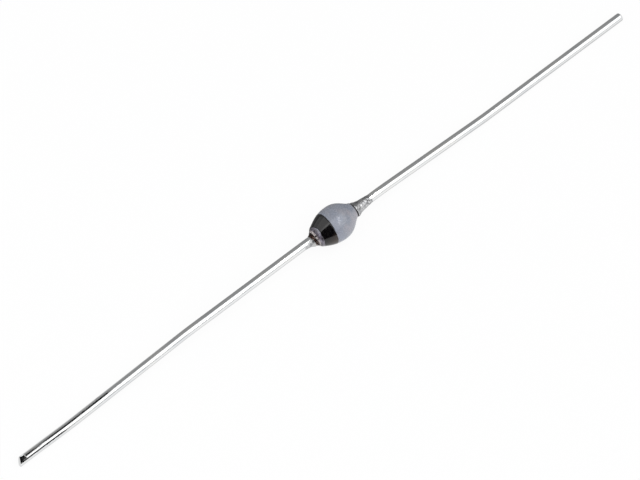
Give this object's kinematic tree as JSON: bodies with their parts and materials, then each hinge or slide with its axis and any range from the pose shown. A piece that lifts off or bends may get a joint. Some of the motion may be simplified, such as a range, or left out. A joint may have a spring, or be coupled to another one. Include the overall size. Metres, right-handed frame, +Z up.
{
  "type": "axial rectifier diode",
  "caption": "Axial rectifier diode: a grey sintered glass bead tapered to both ends, a black ring at its cathode end and a long tinned copper lead out of each end.",
  "frame": {"origin": "on the bead's axis at its fattest plane, half way between the lead tips", "axes": "+X along the leads towards the anode, +Z up as the diode lies on its bead, with the lead tips a hair above the table"},
  "size_m": [0.0744, 0.0036, 0.0036],
  "materials": {
    "sintered_glass": "smooth fired glass, opaque grey",
    "black_enamel": "fired gloss enamel",
    "silicon": "lapped and etched",
    "aluminium_braze": "cast",
    "molybdenum": "ground",
    "copper_braze": "cast, browned by firing",
    "tinned_copper": "drawn wire, hot tinned",
    "tin": "dipped, slightly rough"
  },
  "bodies": {
    "root": {"glass_bead": "sintered_glass", "cathode_band": "black_enamel", "silicon_die": "silicon", "cathode_die_braze": "aluminium_braze", "anode_die_braze": "aluminium_braze", "cathode_stud": "molybdenum", "anode_stud": "molybdenum", "cathode_braze": "copper_braze", "anode_braze": "copper_braze", "cathode_lead": "tinned_copper", "anode_lead": "tinned_copper", "cathode_fillet": "tin", "anode_fillet": "tin"}
  },
  "joints": []
}
